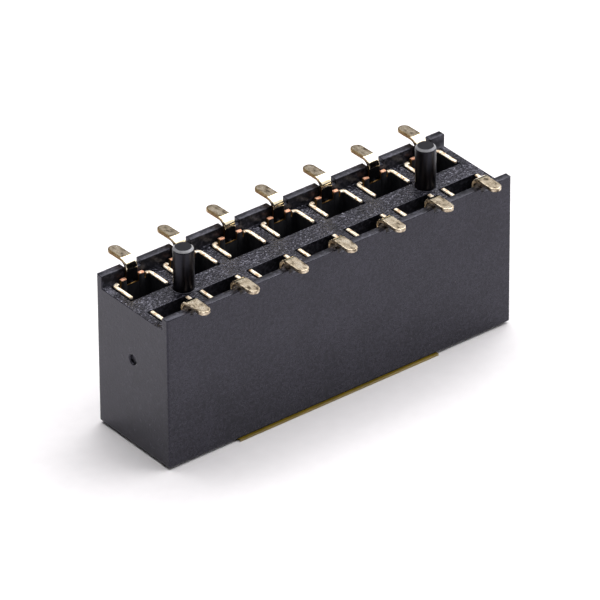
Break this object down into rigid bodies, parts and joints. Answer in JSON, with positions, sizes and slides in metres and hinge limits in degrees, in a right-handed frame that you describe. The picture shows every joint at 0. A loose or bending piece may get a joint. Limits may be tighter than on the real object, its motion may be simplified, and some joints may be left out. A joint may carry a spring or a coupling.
{
  "type": "socket header",
  "caption": "Dual-row surface-mount socket header in black plastic, with locating pegs, bent solder tails along both long sides and an amber pick-up film on its mating face.",
  "frame": {"origin": "middle of the underside of the pick-up film, which the part stands on", "axes": "+X along the rows, +Y across them, +Z from the mating face up to the solder side"},
  "size_m": [0.018, 0.0064, 0.0086],
  "materials": {
    "housing_plastic": "moulded, fine matt grain",
    "contact_strip": "phosphor bronze with a gold flash over nickel, satin",
    "film": "amber polyimide film"
  },
  "bodies": {
    "root": {"housing": "housing_plastic", "pickup_film": "film", "contact_a1": "contact_strip", "contact_a2": "contact_strip", "contact_a3": "contact_strip", "contact_a4": "contact_strip", "contact_a5": "contact_strip", "contact_a6": "contact_strip", "contact_a7": "contact_strip", "contact_b1": "contact_strip", "contact_b2": "contact_strip", "contact_b3": "contact_strip", "contact_b4": "contact_strip", "contact_b5": "contact_strip", "contact_b6": "contact_strip", "contact_b7": "contact_strip"}
  },
  "joints": []
}
